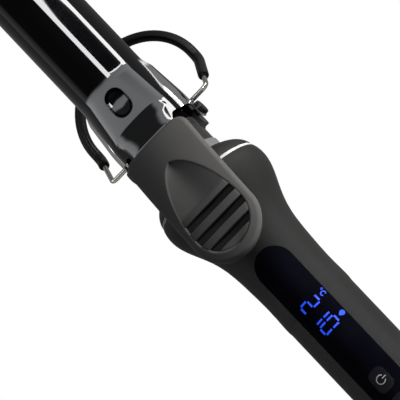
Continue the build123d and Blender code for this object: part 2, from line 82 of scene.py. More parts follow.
def iron_frame():
    """The matrix from the iron's own millimetres to the frame's metres, by hinge and cord axis."""
    ahead = -Vector(joint("cord_turn")["axis"]).normalized()
    left = Vector((0.0, 1.0, 0.0))
    up = ahead.cross(left)
    turn = Matrix((ahead, left, up)).transposed()
    place = Vector(joint("clamp_pivot")["pos_m"]) - turn @ (CLAMP_HINGE * MM)
    return Matrix.Translation(place) @ turn.to_4x4() @ Matrix.Scale(MM, 4)


IRON = iron_frame()


def at(x, y, z):
    """A point of the iron's own frame, in metres."""
    return IRON @ Vector((x, y, z))


def in_metres(points):
    """An array of points of the iron's own frame, its last axis x, y and z, in metres."""
    turn, shift = np.array(IRON.to_3x3()), np.array(IRON.translation)
    return points @ turn.T + shift


def slot_of(node):
    """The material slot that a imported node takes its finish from."""
    return next(part["material_slot"] for part in frame["record"]["subparts"] if part["node"] == node)


# Node trees and materials that the operators share, by name and by material slot
SHARED = {}
FINISHES = {}


# ---------------------------------------------------------------- user settings


def angle(name, description, default):
    """An angle, its default in degrees."""
    return FloatProperty(name=name, description=description, default=radians(default), subtype="ANGLE")


def size(name, description, default):
    """A length in millimetres of the iron's own frame."""
    return FloatProperty(name=name, description=description + ", in millimetres", default=default)


class StageSettings(bpy.types.PropertyGroup):
    view_roll: angle("View roll", "Turn of the camera about the barrel", 9.25)
    view_tilt: angle("View tilt", "Lean of the camera towards the tail", 17.5)
    view_turn: angle("View turn", "Slope of the barrel across the picture", 46.6)
    distance: FloatProperty(name="Distance", description="Camera distance", default=3.0, unit="LENGTH")
    view_width: FloatProperty(name="View width", description="Width seen", default=0.1487, unit="LENGTH")
    aim_along: size("Aim along", "Aim point towards the tail", 29.07)
    aim_across: size("Aim across", "Aim point across the barrel", -5.39)
    strip_glow: FloatProperty(name="Strip glow", description="Brightness of the strips", default=19.0)


class ClampSettings(bpy.types.PropertyGroup):
    tip: size("Tip", "Where the plate ends on the barrel", 148.0)
    flare_start: size("Flare start", "Where the plate begins to widen", 24.0)
    flare_end: size("Flare end", "Where the plate stops widening", 3.0)
    back: size("Back", "Back edge of the plate's sides", -3.0)
    radius: size("Radius", "Outside radius on the barrel", 15.1)
    flare_width: size("Flare width", "Half width at the hinge", 16.9)
    flare_height: size("Flare height", "Height at the hinge", 17.0)
    flatness: FloatProperty(name="Flatness", description="How square the flare's section is", default=2.6)
    edge: size("Edge", "Height of the plate's lower edge", 1.0)
    sheet: size("Sheet", "Thickness of the plate", 0.8)
    hood_front: size("Hood front", "Where the hood over the hinge begins", 4.6)
    hood_run: size("Hood run", "Length over which the hood rises", 10.4)
    hood_rise: size("Hood rise", "Height of the hood above the flare", 2.3)
    hood_width: size("Hood width", "Half width of the hood", 11.0)
    dimple_x: size("Dimple", "Middle of the pressed oval", 13.8)
    dimple_length: size("Dimple length", "Half length of the pressed oval", 6.2)
    dimple_width: size("Dimple width", "Half width of the pressed oval", 4.3)
    dimple_depth: size("Dimple depth", "Depth of the pressed oval", 1.1)
    crease_step: size("Crease step", "How far the skirt stands out below its crease", 1.0)


class LeverSettings(bpy.types.PropertyGroup):
    front: size("Front", "Front edge", -7.5)
    end: size("End", "Rounded end", -67.9)
    width: size("Width", "Width", 30.3)
    thick: size("Thickness", "Thickness", 3.6)
    top_front: size("Top at the front", "Height of the top at the front", 24.0)
    top_middle: size("Top at the middle", "Height of the top at the middle", 31.8)
    top_end: size("Top at the end", "Height of the top at the end", 35.2)
    crown: size("Crown", "How far the top falls to its sides", 2.4)
    corner: size("Corner", "Radius of the front corners", 4.5)
    edge_round: size("Edge rounding", "Radius of the top edge", 1.5)
    scoop_front: size("Scoop front", "Point of the thumb scoop", -20.3)
    scoop_wide: size("Scoop middle", "Where the thumb scoop is widest", -50.0)
    scoop_end: size("Scoop end", "Round end of the thumb scoop", -63.8)
    scoop_width: size("Scoop width", "Half width of the thumb scoop", 12.7)
    scoop_depth: size("Scoop depth", "Depth of the thumb scoop", 2.9)
    groove_first: size("First groove", "Middle of the first grip groove", -45.1)
    groove_pitch: size("Groove pitch", "Distance between grip grooves", 6.6)
    groove_width: size("Groove width", "Width of a grip groove", 2.7)
    groove_depth: size("Groove depth", "Depth of a grip groove below the scoop", 0.9)


class StandSettings(bpy.types.PropertyGroup):
    half_width: size("Half width", "Half width of the wire's centreline", 26.7)
    arm_start: size("Arm start", "Where the wire leaves its screw, across", 14.45)
    splay: size("Splay", "How much further out the knee is than the corner above it", 1.3)
    corner_round: size("Corner rounding", "Radius of the bend above the knee", 2.4)
    knee_round: size("Knee rounding", "Radius of the bend at the knee", 6.0)
    knee_x: size("Knee", "Where the wire turns forward along the table", 17.0)
    knee_z: size("Knee height", "Height of the wire's lower run", -26.3)
    flat_run: size("Flat run", "Straight wire from the knee to the rounded foot", 4.0)
    toe_x: size("Toe", "Front of the rounded foot", 45.0)
    wire: size("Wire", "Radius of the wire", 0.95)
    sleeve: size("Sleeve", "Radius of the heat sleeve", 2.1)
    bare_right: size("Bare right", "Bare wire from the corner to the sleeve, right", 9.0)
    bare_left: size("Bare left", "Bare wire from the corner to the sleeve, left", 20.0)


class MarkSettings(bpy.types.PropertyGroup):
    grip_radius: size("Grip radius", "Outside radius of the grip", 15.05)
    unit_x: size("Unit mark", "Middle of the degree mark along the grip", -93.3)
    heat_x: size("Heat mark", "Middle of the heating mark along the grip", -103.9)
    row_y: size("Mark row", "Where the small marks sit across the grip", -6.2)


# ---------------------------------------------------------------- mesh helpers


def add_mesh(name, vertices, faces, material=None, smooth=True):
    """A new object at the origin, its vertices in metres."""
    mesh = bpy.data.meshes.new(name)
    mesh.from_pydata([tuple(v) for v in vertices], [], faces)
    mesh.validate()
    if smooth:
        mesh.polygons.foreach_set("use_smooth", [True] * len(mesh.polygons))
    piece = bpy.data.objects.new(name, mesh)
    bpy.context.scene.collection.objects.link(piece)
    if material:
        mesh.materials.append(material)
    return piece


def grid_faces(rows, columns, first=0):
    corner = np.arange(rows * columns).reshape(rows, columns) + first
    quads = np.stack([corner[:-1, :-1], corner[1:, :-1], corner[1:, 1:], corner[:-1, 1:]], axis=-1)
    return quads.reshape(-1, 4).tolist()


def wall_between(outer, inner):
    """Vertices and faces of a closed wall between two grids of points, rows by columns by 3."""
    rows, columns = outer.shape[:2]
    total = rows * columns
    faces = grid_faces(rows, columns)
    faces += [face[::-1] for face in grid_faces(rows, columns, total)]
    corner = np.arange(total).reshape(rows, columns)
    rim = [*corner[0, :], *corner[1:, -1], *corner[-1, -2::-1], *corner[-2:0:-1, 0]]
    for a, b in zip(rim, rim[1:] + rim[:1]):
        faces.append([int(a), int(a) + total, int(b) + total, int(b)])
    return np.concatenate([outer.reshape(-1, 3), inner.reshape(-1, 3)]), faces


def grid_normals(points):
    """Unit normals of a grid of points, towards +Z where the grid runs tailwards and then across."""
    along = np.gradient(points, axis=0)
    across = np.gradient(points, axis=1)
    normal = np.cross(across, along)
    return normal / np.linalg.norm(normal, axis=-1, keepdims=True)


def tidy_shell(piece, sharp=None):
    """Merges doubles and turns every face outwards; edges over the sharp angle stay crisp."""
    work = bmesh.new()
    work.from_mesh(piece.data)
    bmesh.ops.remove_doubles(work, verts=work.verts, dist=1e-6)
    bmesh.ops.dissolve_degenerate(work, edges=work.edges, dist=1e-7)
    bmesh.ops.recalc_face_normals(work, faces=work.faces)
    if sharp:
        for edge in work.edges:
            edge.smooth = len(edge.link_faces) != 2 or edge.calc_face_angle() < sharp
    work.to_mesh(piece.data)
    work.free()


def joined_shells(name, shells, sharp=radians(40)):
    """One object from several closed shells, each given as vertices in the iron's frame and faces."""
    vertices, faces = [], []
    for points, shell_faces in shells:
        start = len(vertices)
        vertices += in_metres(np.asarray(points, float)).tolist()
        faces += [[start + index for index in face] for face in shell_faces]
    piece = add_mesh(name, vertices, faces)
    tidy_shell(piece, sharp)
    return piece


def extruded(outline, low, high, bulge=0.0):
    """A closed shell from an (x, z) outline, between two y values, its middle ring moved out by bulge."""
    outline = np.asarray(outline, float)
    centre = outline.mean(axis=0)
    corners = len(outline)
    step = (high - low) * 0.3
    rings = []
    for y, grow in ((low, -bulge), (low + step, 0), (high - step, 0), (high, -bulge)):
        away = outline - centre
        length = np.linalg.norm(away, axis=1, keepdims=True)
        ring = centre + away * (length + grow) / length
        rings.append(np.column_stack([ring[:, 0], np.full(corners, y), ring[:, 1]]))
    faces = []
    for ring in range(len(rings) - 1):
        a, b = ring * corners, (ring + 1) * corners
        for i in range(corners):
            j = (i + 1) % corners
            faces.append([a + i, a + j, b + j, b + i])
    last = (len(rings) - 1) * corners
    faces.append(list(range(corners)))
    faces.append([last + i for i in reversed(range(corners))])
    return np.concatenate(rings), faces


def ease(value, low, high):
    """0 below low, 1 above high and smooth between; low may be the greater."""
    share = np.clip((value - low) / (high - low), 0, 1)
    return share * share * (3 - 2 * share)


def soft_ramp(value, low, high, blend):
    """A straight ramp from 0 to 1 with rounded ends; low may be the greater."""
    step = np.sign(high - low)
    span = abs(high - low)

    def bent(t):
        t = np.clip(t / blend, -1, None)
        return np.where(t < 1, blend * (t + 1) ** 2 / 4, blend * t)

    return (bent((value - low) * step) - bent((value - high) * step)) / span


def keep_attribute(piece, name, values):
    layer = piece.data.attributes.new(name, "FLOAT", "POINT")
    layer.data.foreach_set("value", np.asarray(values, np.float32))


def near(piece, points, values):
    """The values given at points, carried to a piece's vertices by the nearest point."""
    tree = KDTree(len(points))
    for index, point in enumerate(points):
        tree.insert(point, index)
    tree.balance()
    return [values[tree.find(vertex.co)[1]] for vertex in piece.data.vertices]


def fit(piece, body, node):
    """Puts a finished piece on its body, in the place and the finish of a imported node."""
    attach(piece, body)
    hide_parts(node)
    piece.data.materials.clear()
    piece.data.materials.append(FINISHES[slot_of(node)])


# ---------------------------------------------------------------- clamp plate


def lever_arc(settings):
    """Centre (x, z) and radius of the lever's top in side view, through its three heights."""
    heights = (
        (settings.front, settings.top_front),
        (LEVER_MIDDLE, settings.top_middle),
        (settings.end, settings.top_end),
    )
    points = np.array(heights)
    twice = 2 * (points[1:] - points[0])
    square = (points**2).sum(axis=1)
    centre = np.linalg.solve(twice, square[1:] - square[0])
    return centre[0], centre[1], np.linalg.norm(points[0] - centre)


def arc_height(arc, x, below=0.0):
    """Height at x of the arc's centre circle, or of one drawn further in by below."""
    return arc[1] + np.sqrt((arc[2] - below) ** 2 - (x - arc[0]) ** 2)


def plate_surface(settings, arc, thick):
    """Outside and inside grids of the clamp plate, then how far each point is skirt and in the oval's rim, which
    is painted dark as shade.
    """
    straight = np.linspace(settings.tip, settings.flare_start + 2, 26)
    shaped = np.linspace(settings.flare_start + 1, settings.back, 150)
    x = np.concatenate([straight, shaped])[:, None]
    turn = np.linspace(0, 1, 161)[None, :]
    flare = soft_ramp(x, settings.flare_start, settings.flare_end, 2.5)
    half = settings.radius + (settings.flare_width - settings.radius) * flare
    high = settings.radius + (settings.flare_height - settings.radius) * flare
    power = 2 / (2 + (settings.flatness - 2) * flare)
    start = np.arcsin((settings.edge / high) ** (1 / power))
    theta = start + (pi - 2 * start) * turn
    y = -half * np.sign(np.cos(theta)) * np.abs(np.cos(theta)) ** power
    z = high * np.sin(theta) ** power
    back_run = ease(np.abs(y), settings.hood_width + 1.5, settings.hood_width - 2.5) * (z > 8)
    x = x - back_run * 6.0 * ease(x, settings.back + 8, settings.back)

    # Hood: rises over the hinge towards the lever's underside
    level = arc_height(arc, x, thick) - 0.15
    lift = settings.hood_rise * np.clip((settings.hood_front - x) / settings.hood_run, 0, 1)
    still_below = np.maximum(level - settings.flare_height - settings.hood_rise, 0)
    lift = lift + still_below * ease(x, -5.0, -8.0)
    wide = settings.hood_width * (0.86 + 0.14 * ease(x, settings.hood_front, settings.hood_front - 5))
    z = z + lift * (1 - np.clip(np.abs(y) / (wide + 1.5), 0, 1) ** 2.4)
    points = np.stack([x + 0 * y, y, z], axis=-1)

    normal = grid_normals(points)
    along_oval = np.abs((points[..., 0] - settings.dimple_x) / settings.dimple_length)
    across_oval = np.abs(points[..., 1] / settings.dimple_width)
    away = np.sqrt(along_oval**2.3 + across_oval**2.3)
    press = -settings.dimple_depth * (1 - np.clip(away, 0, 1) ** 2.5)
    # The oval's rim share: a ring painted dark as painted shade along the pressed crease
    rim = ease(away, 1.04, 0.92) * ease(away, 0.72, 0.86)

    # Skirt: a crease runs back along each side, and the sheet below it stands out
    leaning = np.degrees(np.arctan2(z, np.abs(y)))
    crease = 18 + 16 * ease(x, 23, 5)
    grown = ease(x, 24.5, 19)
    skirt = settings.crease_step * np.clip((crease - leaning) / 9.0, 0, 1)
    skirt = skirt - 0.1 * ease(np.abs(leaning - crease), 2.0, 0.0)
    outer = points + normal * (press + skirt * grown)[..., None]
    inner = outer - grid_normals(outer) * settings.sheet
    return outer, inner, grown * ease(leaning, crease, crease - 2.0), rim


def tongue_shell(lever, arc):
    """The strip of the plate that carries the lever."""
    x = np.linspace(TONGUE_FRONT, TONGUE_BACK, 25)[:, None]
    y = np.linspace(-TONGUE_HALF_WIDTH, TONGUE_HALF_WIDTH, 13)[None, :]
    droop = 0.4 * np.clip((x - lever.front) / 6.5, 0, 1)
    z = arc_height(arc, np.minimum(x, lever.front), lever.thick) - droop - 0.05
    grid = np.stack(np.broadcast_arrays(x, y, z), axis=-1)
    return wall_between(grid + (0, 0, TONGUE_SHEET), grid)


def ear_outline(hinge_x, hinge_z, radius):
    """Side view of an ear: round about the hinge, widening into the plate."""
    turns = np.linspace(pi, 2 * pi, 21)
    round_end = [(hinge_x + radius * cos(a), hinge_z + radius * sin(a)) for a in turns]
    ahead, behind = hinge_x + radius, hinge_x - radius
    front = [(ahead + 0.3, -1.6), (ahead + 1.2, -0.1), (1.5, 0.9), (4.5, 1.3), (4.5, 3.6)]
    return round_end + front + [(-2.9, 3.6), (behind + 0.6, 2.9), (behind, 1.6)]


class IRON_OT_clamp_plate(bpy.types.Operator):
    """Presses the clamp plate with its flare, hood, dimple, skirt and hinge ears"""

    bl_idname = "iron.clamp_plate"
    bl_label = "Clamp plate"

    def execute(self, context):
        settings, lever = context.scene.iron_clamp, context.scene.iron_lever
        arc = lever_arc(lever)
        outer, inner, skirt, rim = plate_surface(settings, arc, lever.thick)
        shells = [wall_between(outer, inner), tongue_shell(lever, arc)]
        outline = ear_outline(CLAMP_HINGE.x, CLAMP_HINGE.z, EAR_RADIUS)
        for side in (-1, 1):
            low, high = sorted((side * EAR_INSIDE, side * EAR_OUTSIDE))
            shells.append(extruded(outline, low, high, 0.15))
        piece = joined_shells("clamp_pressing", shells)
        points = in_metres(np.concatenate([outer.reshape(-1, 3), inner.reshape(-1, 3)]))
        # The rim attribute carries the oval's painted dark outline of shade
        for label, values in (("skirt", skirt), ("rim", rim)):
            keep_attribute(piece, label, near(piece, points, np.tile(values.reshape(-1), 2)))
        fit(piece, "clamp", "clamp_plate")
        return {"FINISHED"}


# ---------------------------------------------------------------- thumb lever


def lever_edge_distance(settings, x, y):
    """Distance inwards from the lever's outline, seen from above."""
    half = settings.width / 2
    centre = settings.end + half
    side = half - np.abs(y)
    ahead = settings.front - x
    corner = settings.corner
    in_corner = (ahead < corner) & (side < corner)
    rounded = corner - np.hypot(corner - ahead, corner - side)
    straight = np.where(in_corner, rounded, np.minimum(side, ahead))
    return np.where(x < centre, half - np.hypot(x - centre, y), straight)


def scoop_half_width(settings, x):
    """Half width of the teardrop scoop at x: slim towards the barrel, round at the thumb."""
    forward = np.clip((x - settings.scoop_wide) / (settings.scoop_front - settings.scoop_wide), 0, 1)
    backward = np.clip((settings.scoop_wide - x) / (settings.scoop_wide - settings.scoop_end), 0, 1)
    slim = np.clip(1 - forward**1.75, 0, None) ** 0.6
    return settings.scoop_width * slim * np.sqrt(np.clip(1 - backward**2.1, 0, None))


def scoop_distance(settings, x, y):
    """Distance inwards from the scoop's outline, negative outside it."""
    share = 0.5 - 0.5 * np.cos(np.linspace(0, pi, 161))
    along = settings.scoop_front + (settings.scoop_end - settings.scoop_front) * share
    wide = scoop_half_width(settings, along)
    between = (x < settings.scoop_front) & (x > settings.scoop_end)
    inside = (np.abs(y) < scoop_half_width(settings, x)) & between
    nearest = np.full(x.shape, 1e9)
    for px, py in zip(along, wide):
        nearest = np.minimum(nearest, np.hypot(x - px, np.abs(y) - py))
    return np.where(inside, nearest, -nearest)


def lever_surface(settings):
    """Top and underside grids of the lever, and how deep each point lies in a groove."""
    half = settings.width / 2
    centre = settings.end + half
    front = settings.front - settings.corner * (1 - np.cos(np.linspace(0, pi / 2, 14)))
    middle = np.linspace(front[-1], centre, 200)[1:]
    back = centre - half * np.sin(np.linspace(0, pi / 2, 60))[1:]
    x = np.concatenate([front, middle, back])[:, None]
    near_corner = np.clip((settings.corner - (settings.front - x)) / settings.corner, 0, 1)
    wide = half - settings.corner * (1 - np.sqrt(1 - near_corner**2))
    wide = np.where(x < centre, np.sqrt(np.clip(half**2 - (x - centre) ** 2, 0, None)), wide)
    share = np.linspace(-1, 1, 151)
    share = (np.sin(share * pi / 2) * 0.35 + share * 0.65)[None, :]
    y = wide * share
    x = x + 0 * y

    arc = lever_arc(settings)
    top = arc_height(arc, x) - settings.crown * (y / half) ** 2
    inward = np.clip(lever_edge_distance(settings, x, y), 0, None)
    rounding = settings.edge_round
    short = np.clip(rounding - inward, 0, rounding)
    top = top - (rounding - np.sqrt(rounding**2 - short**2))

    depth_in = scoop_distance(settings, x, y)
    wide_here = np.maximum(scoop_half_width(settings, x), 0.5)
    bowl = 1 - np.sqrt((y / wide_here) ** 2 + 0.2)
    size_here = 0.35 + 0.65 * wide_here / settings.scoop_width
    dish = ease(depth_in, -0.3, 0.7) * (0.35 + settings.scoop_depth * size_here * bowl)
    groove = np.zeros_like(x)
    half_groove = settings.groove_width / 2
    for index in range(3):
        off = np.abs(x - settings.groove_first + index * settings.groove_pitch)
        groove = np.maximum(groove, ease(off, half_groove + 0.5, half_groove - 0.25))
    ribbed = ease(x, settings.groove_first + 5.2, settings.groove_first + 3.6)
    rib = ribbed * (1 - groove) * ease(depth_in, 0.5, 1.2)
    groove = groove * ease(depth_in, 0.5, 1.1)
    dish = dish * (1 - 0.5 * rib) + settings.groove_depth * groove
    bottom = arc_height(arc, x, settings.thick) + 0.25 * (1 - ease(inward, 0, 0.5))
    top = top - dish
    bottom = np.minimum(bottom, top - 0.3)
    return np.stack([x, y, top], axis=-1), np.stack([x, y, bottom], axis=-1), groove


class IRON_OT_thumb_lever(bpy.types.Operator):
    """Moulds the thumb lever with its teardrop scoop and grip grooves"""

    bl_idname = "iron.thumb_lever"
    bl_label = "Thumb lever"

    def execute(self, context):
        top, bottom, groove = lever_surface(context.scene.iron_lever)
        piece = joined_shells("thumb_lever_moulding", [wall_between(top, bottom)], radians(50))
        points = in_metres(np.concatenate([top.reshape(-1, 3), bottom.reshape(-1, 3)]))
        depths = np.concatenate([groove.reshape(-1), np.zeros(groove.size)])
        # The groove share also paints shade into the grooves' colour
        keep_attribute(piece, "groove", near(piece, points, depths))
        fit(piece, "clamp", "thumb_lever")
        return {"FINISHED"}


# ---------------------------------------------------------------- clamp spring


class IRON_OT_clamp_spring(bpy.types.Operator):
    """Copies the imported leaf spring, merges its doubles and puts it on the handle in its finish"""

    bl_idname = "iron.clamp_spring"
    bl_label = "Clamp spring"

    def execute(self, context):
        mesh = frame["nodes"]["clamp_spring"].data.copy()
        piece = bpy.data.objects.new("clamp_leaf_spring", mesh)
        context.scene.collection.objects.link(piece)
        work = bmesh.new()
        work.from_mesh(mesh)
        bmesh.ops.remove_doubles(work, verts=work.verts, dist=1e-6)
        work.to_mesh(mesh)
        work.free()
        fit(piece, "handle", "clamp_spring")
        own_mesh(piece)
        return {"FINISHED"}


# ---------------------------------------------------------------- stand


def rounded_run(points, radii):
    """Straight runs through points with the inner corners rounded, as a line of points."""
    line = [np.array(points[0], float)]
    for before, corner, after, radius in zip(points, points[1:], points[2:], radii):
        before, corner, after = (np.array(p, float) for p in (before, corner, after))
        a, b = before - corner, after - corner
        a, b = a / np.linalg.norm(a), b / np.linalg.norm(b)
        half = np.arccos(np.clip(a @ b, -1, 1)) / 2
        middle = (a + b) / np.linalg.norm(a + b)
        centre = corner + middle * radius / sin(half)
        first, last = corner + a * radius / np.tan(half), corner + b * radius / np.tan(half)
        u, v = (first - centre) / radius, (last - centre) / radius
        w = v - (u @ v) * u
        w = w / np.linalg.norm(w)
        sweep = np.arccos(np.clip(u @ v, -1, 1))
        line += [centre + radius * (cos(t) * u + sin(t) * w) for t in np.linspace(0, sweep, 13)]
    line.append(np.array(points[-1], float))
    return line


def stand_line(settings):
    """The wire's centreline from the right pivot round the foot to the left one."""
    slope = abs(IRON.to_euler().y)
    pivot = IRON.inverted() @ Vector(joint("stand_pivot")["pos_m"])
    ahead = np.array([cos(slope), 0, -sin(slope)])
    corner = (pivot.x, -settings.half_width + settings.splay, pivot.z)
    knee = np.array([settings.knee_x, -settings.half_width, settings.knee_z])
    bend = knee + ahead * settings.flat_run
    reach = (settings.toe_x - bend[0]) / cos(slope)
    arm = (pivot.x, -settings.arm_start, pivot.z)
    side = rounded_run([arm, corner, knee, bend], (settings.corner_round, settings.knee_round))
    foot = [
        bend + ahead * reach * sin(t) + np.array([0, settings.half_width * (1 - cos(t)), 0])
        for t in np.linspace(0, pi, 97)[1:-1]
    ]
    other = [point * (1, -1, 1) for point in reversed(side)]
    return np.array(side + foot + other)


def tube_tree():
    """Geometry Nodes: a round tube along a line, its ends rounded over and closed."""
    tree = bpy.data.node_groups.new("round_tube", "GeometryNodeTree")
    tree.interface.new_socket(name="Geometry", in_out="INPUT", socket_type="NodeSocketGeometry")
    sizes = (
        ("Radius", "NodeSocketFloat", 0.001),
        ("Sides", "NodeSocketInt", 24),
        ("Step", "NodeSocketFloat", 0.0005),
    )
    for label, kind, default in sizes:
        tree.interface.new_socket(name=label, in_out="INPUT", socket_type=kind).default_value = default
    tree.interface.new_socket(name="Finish", in_out="INPUT", socket_type="NodeSocketMaterial")
    tree.interface.new_socket(name="Geometry", in_out="OUTPUT", socket_type="NodeSocketGeometry")
    nodes, links = tree.nodes, tree.links
    given, out = nodes.new("NodeGroupInput"), nodes.new("NodeGroupOutput")
    line = nodes.new("GeometryNodeMeshToCurve")
    even = nodes.new("GeometryNodeResampleCurve")
    even.mode = "LENGTH"
    ring, tube = nodes.new("GeometryNodeCurvePrimitiveCircle"), nodes.new("GeometryNodeCurveToMesh")
    smooth, real = nodes.new("GeometryNodeSetShadeSmooth"), nodes.new("GeometryNodeRealizeInstances")
    dress = nodes.new("GeometryNodeSetMaterial")
    # The ring shrinks over the last sample at each end, which rounds the rim
    ends, share = nodes.new("GeometryNodeCurveEndpointSelection"), nodes.new("GeometryNodeSwitch")
    taper = nodes.new("GeometryNodeSetCurveRadius")
    share.input_type = "FLOAT"
    share.inputs["False"].default_value = 1.0
    share.inputs["True"].default_value = 0.82
    links.new(given.outputs["Geometry"], line.inputs["Mesh"])
    links.new(line.outputs["Curve"], even.inputs["Curve"])
    links.new(given.outputs["Step"], even.inputs["Length"])
    links.new(even.outputs["Curve"], taper.inputs["Curve"])
    links.new(ends.outputs["Selection"], share.inputs["Switch"])
    links.new(share.outputs["Output"], taper.inputs["Radius"])
    links.new(given.outputs["Sides"], ring.inputs["Resolution"])
    links.new(given.outputs["Radius"], ring.inputs["Radius"])
    links.new(taper.outputs["Curve"], tube.inputs["Curve"])
    links.new(ring.outputs["Curve"], tube.inputs["Profile Curve"])
    tube.inputs["Fill Caps"].default_value = True
    if "Scale" in tube.inputs:
        radius = nodes.new("GeometryNodeInputRadius")
        links.new(radius.outputs["Radius"], tube.inputs["Scale"])
    links.new(tube.outputs["Mesh"], smooth.inputs["Geometry"])
    links.new(smooth.outputs["Geometry"], real.inputs["Geometry"])
    links.new(real.outputs["Geometry"], dress.inputs["Geometry"])
    links.new(given.outputs["Finish"], dress.inputs["Material"])
    links.new(dress.outputs["Geometry"], out.inputs["Geometry"])
    return tree


def tube_piece(name, line, radius, material, sides, step=0.7):
    """A plain mesh tube along a line of the iron's own points, made by the tube nodes."""
    points = in_metres(np.asarray(line)).tolist()
    mesh = bpy.data.meshes.new(name + "_line")
    mesh.from_pydata(points, [(i, i + 1) for i in range(len(points) - 1)], [])
    guide = bpy.data.objects.new(name + "_line", mesh)
    bpy.context.scene.collection.objects.link(guide)
    modifier = guide.modifiers.new("tube", "NODES")
    tree = modifier.node_group = SHARED.get("tube") or SHARED.setdefault("tube", tube_tree())
    wanted = {"Radius": radius * MM, "Sides": sides, "Step": step * MM, "Finish": material}
    for item in tree.interface.items_tree:
        if item.item_type == "SOCKET" and item.in_out == "INPUT" and item.name in wanted:
            modifier[item.identifier] = wanted[item.name]
    graph = bpy.context.evaluated_depsgraph_get()
    result = bpy.data.meshes.new_from_object(guide.evaluated_get(graph))
    bpy.data.objects.remove(guide)
    result.name = name
    piece = bpy.data.objects.new(name, result)
    bpy.context.scene.collection.objects.link(piece)
    tidy_shell(piece, radians(50))
    return piece


def cut_line(line, from_start, from_end):
    """The part of a line left when its first and last stretches are cut away."""
    gaps = np.linalg.norm(np.diff(line, axis=0), axis=1)
    run = np.concatenate([[0], np.cumsum(gaps)])
    places = [from_start] + [r for r in run if from_start < r < run[-1] - from_end] + [run[-1] - from_end]
    return np.array([[np.interp(place, run, line[:, axis]) for axis in range(3)] for place in places])


class IRON_OT_stand(bpy.types.Operator):
    """Bends the stand's chromed wire and its heat sleeve"""

    bl_idname = "iron.stand"
    bl_label = "Safety stand"

    def execute(self, context):
        settings = context.scene.iron_stand
        line = stand_line(settings)
        straight = settings.half_width - settings.splay - settings.arm_start
        wire = tube_piece("stand_wire_bend", line, settings.wire, FINISHES["wire_chrome"], 20)
        sleeved = cut_line(line, straight + settings.bare_right, straight + settings.bare_left)
        sleeve = tube_piece("stand_sleeve_tube", sleeved, settings.sleeve, FINISHES["sleeve_black"], 32)
        fit(wire, "stand", "stand_wire")
        fit(sleeve, "stand", "stand_sleeve")
        return {"FINISHED"}


# ---------------------------------------------------------------- printed and lit marks


def on_grip(radius, x, y):
    """The point of the grip's round surface above (x, y)."""
    return (x, y, sqrt(radius**2 - y**2))


def slab_on_grip(settings, outer, inner, proud=0.06, sunk=0.05):
    """A closed ribbon between two open lines of (x, y), bent round the grip."""
    high, low = settings.grip_radius + proud, settings.grip_radius - sunk
    rows = [
        np.array([on_grip(high, *point) for point in outer]),
        np.array([on_grip(high, *point) for point in inner]),
        np.array([on_grip(low, *point) for point in inner]),
        np.array([on_grip(low, *point) for point in outer]),
    ]
    total = len(outer)
    faces = []
    for row in range(4):
        a, b = row * total, ((row + 1) % 4) * total
        faces += [[a + i, a + i + 1, b + i + 1, b + i] for i in range(total - 1)]
    faces.append([0, total, 2 * total, 3 * total])
    faces.append([4 * total - 1, 3 * total - 1, 2 * total - 1, total - 1])
    return np.concatenate(rows), faces


def arc_mark(settings, x, y, radius, first, last, stroke):
    """A curved stroke round (x, y); angles are read with +X as up to the tip."""
    angles = np.radians(np.linspace(first, last, 33))
    outer = [(x + (radius + stroke / 2) * cos(a), y + (radius + stroke / 2) * sin(a)) for a in angles]
    inner = [(x + (radius - stroke / 2) * cos(a), y + (radius - stroke / 2) * sin(a)) for a in angles]
    return slab_on_grip(settings, outer, inner)


def bar_mark(settings, x, y, along, across, proud=0.06):
    """A straight stroke centred on (x, y)."""
    steps = np.linspace(-0.5, 0.5, 5)
    left = [(x + along / 2, y + across * s) for s in steps]
    right = [(x - along / 2, y + across * s) for s in steps]
    return slab_on_grip(settings, left, right, proud)


def drop_mark(settings, x, y, height):
    """A small flame: round below, drawn to a point at the top, which faces -Y."""
    steps = np.linspace(0, 1, 25)
    wide = height * 0.46 * np.sin(pi * steps**0.72) ** 0.85
    line = y - height * (0.5 - steps)
    left = list(zip(x + wide + 0.01, line))
    right = list(zip(x - wide - 0.01, line))
    return slab_on_grip(settings, left, right)


class IRON_OT_marks(bpy.types.Operator):
    """Lights the small marks over the figures and prints the signs on the buttons"""

    bl_idname = "iron.marks"
    bl_label = "Marks"

    def execute(self, context):
        marks = context.scene.iron_marks
        unit = [
            arc_mark(marks, marks.unit_x - 0.3, marks.row_y, 0.85, 220, 500, 0.42),
            arc_mark(marks, marks.unit_x + 1.45, marks.row_y - 0.75, 0.32, 0, 359.9, 0.2),
        ]
        pieces = [
            ("degree_mark", unit, "handle", "digit_light"),
            ("heating_mark", [drop_mark(marks, marks.heat_x, marks.row_y, 2.4)], "handle", "digit_light"),
        ]
        for name in ("power_button", "plus_button", "minus_button"):
            low, high = (IRON.inverted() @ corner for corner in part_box(name))
            x = (low.x + high.x) / 2
            if name == "power_button":
                shapes = [arc_mark(marks, x, 0.0, 1.7, 305, 595, 0.38), bar_mark(marks, x, -1.5, 0.38, 1.7)]
            else:
                shapes = [bar_mark(marks, x, 0.0, 3.0, 0.42)]
            if name == "plus_button":
                shapes.append(bar_mark(marks, x, 0.0, 0.42, 3.0, 0.055))
            lifted = [(points * (1, 1.012, 1.012), faces) for points, faces in shapes]
            pieces.append((name.replace("button", "sign"), lifted, name, "trim_grey"))
        for name, shells, body, slot in pieces:
            piece = joined_shells(name, shells)
            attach(piece, body)
            piece.data.materials.append(FINISHES[slot])
        return {"FINISHED"}


# ---------------------------------------------------------------- finishes


def new_group(name, inputs, outputs):
    """An empty shader node group with number sockets: (name, default) in and names out."""
    tree = bpy.data.node_groups.new(name, "ShaderNodeTree")
    for label, default in inputs:
        socket = tree.interface.new_socket(name=label, in_out="INPUT", socket_type="NodeSocketFloat")
        socket.default_value = default
    for label in outputs:
        tree.interface.new_socket(name=label, in_out="OUTPUT", socket_type="NodeSocketFloat")
    return tree, tree.nodes.new("NodeGroupInput"), tree.nodes.new("NodeGroupOutput")


